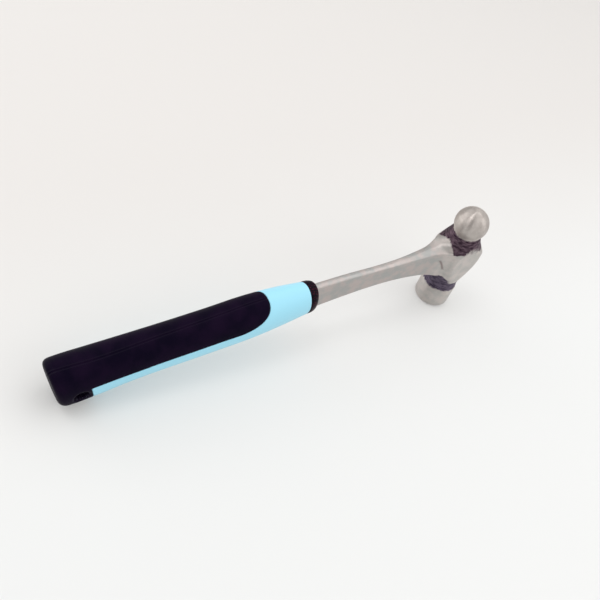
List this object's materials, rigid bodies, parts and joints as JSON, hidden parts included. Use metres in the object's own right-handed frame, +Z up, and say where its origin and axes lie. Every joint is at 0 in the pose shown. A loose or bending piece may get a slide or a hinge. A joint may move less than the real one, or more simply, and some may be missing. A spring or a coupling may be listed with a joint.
{
  "type": "ball peen hammer",
  "caption": "Ball peen hammer: steel head, flat shank and tang forged in one, with a sky-blue plastic grip body under a soft black cover and a hanging hole.",
  "frame": {"origin": "middle of the hammer's bounding box in plan, on the table that it rests on", "axes": "+X along the handle towards the head, +Z up, towards the ball; Y across the hammer, which is the same on both sides. The hammer lies as it rests: on the rim of the striking face and the heel of the grip."},
  "size_m": [0.341, 0.0286, 0.0979],
  "materials": {
    "forged_steel": "ground bright on the ball, poll, cheeks and shank, with dark forging scale left in the two necks",
    "blue_plastic": "smooth satin sky-blue moulding",
    "black_rubber": "matte soft-touch black",
    "black_plastic": "semi-gloss black"
  },
  "bodies": {
    "root": {"head_and_shank": "forged_steel", "grip_body": "blue_plastic", "grip_overmould": "black_rubber", "front_collar": "black_plastic"}
  },
  "joints": []
}
